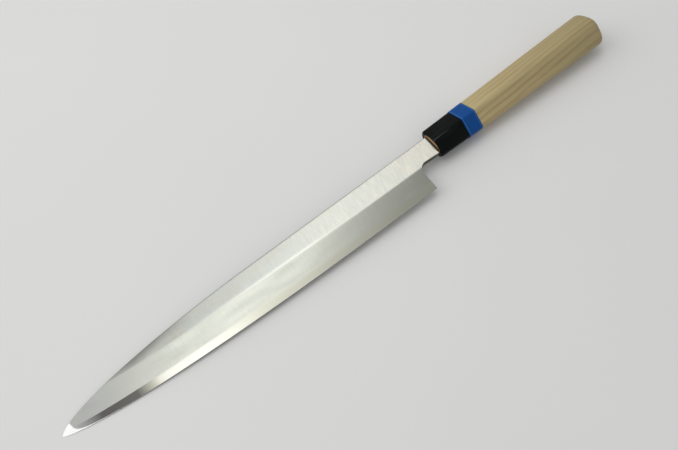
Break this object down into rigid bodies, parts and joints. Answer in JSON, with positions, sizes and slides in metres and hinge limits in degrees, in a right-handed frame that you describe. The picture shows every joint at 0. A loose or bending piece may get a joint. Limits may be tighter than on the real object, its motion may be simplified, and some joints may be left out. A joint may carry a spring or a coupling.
{
  "type": "yanagiba knife",
  "caption": "Long narrow slicing knife, bevelled on one side, with a hollow-ground back, a neck and tang, a black ferrule, a ridged wooden handle and a label band.",
  "frame": {"origin": "middle of the knife's length and height, at the back of the handle's butt, which is its lowest point", "axes": "+X from the tip to the butt, +Y from the edge to the spine, +Z out of the bevelled front of the blade"},
  "size_m": [0.411, 0.037, 0.0205],
  "materials": {
    "iron": "satin, finely scratched across the blade",
    "steel": "polished along the edge, fine ground on the flat back",
    "ferrule": "smooth black satin",
    "wood": "bare, sanded smooth",
    "band": "printed blue with a slight gloss"
  },
  "bodies": {
    "root": {"blade_cladding": "iron", "edge_steel": "steel", "ferrule": "ferrule", "handle": "wood", "label_band": "band"}
  },
  "joints": []
}
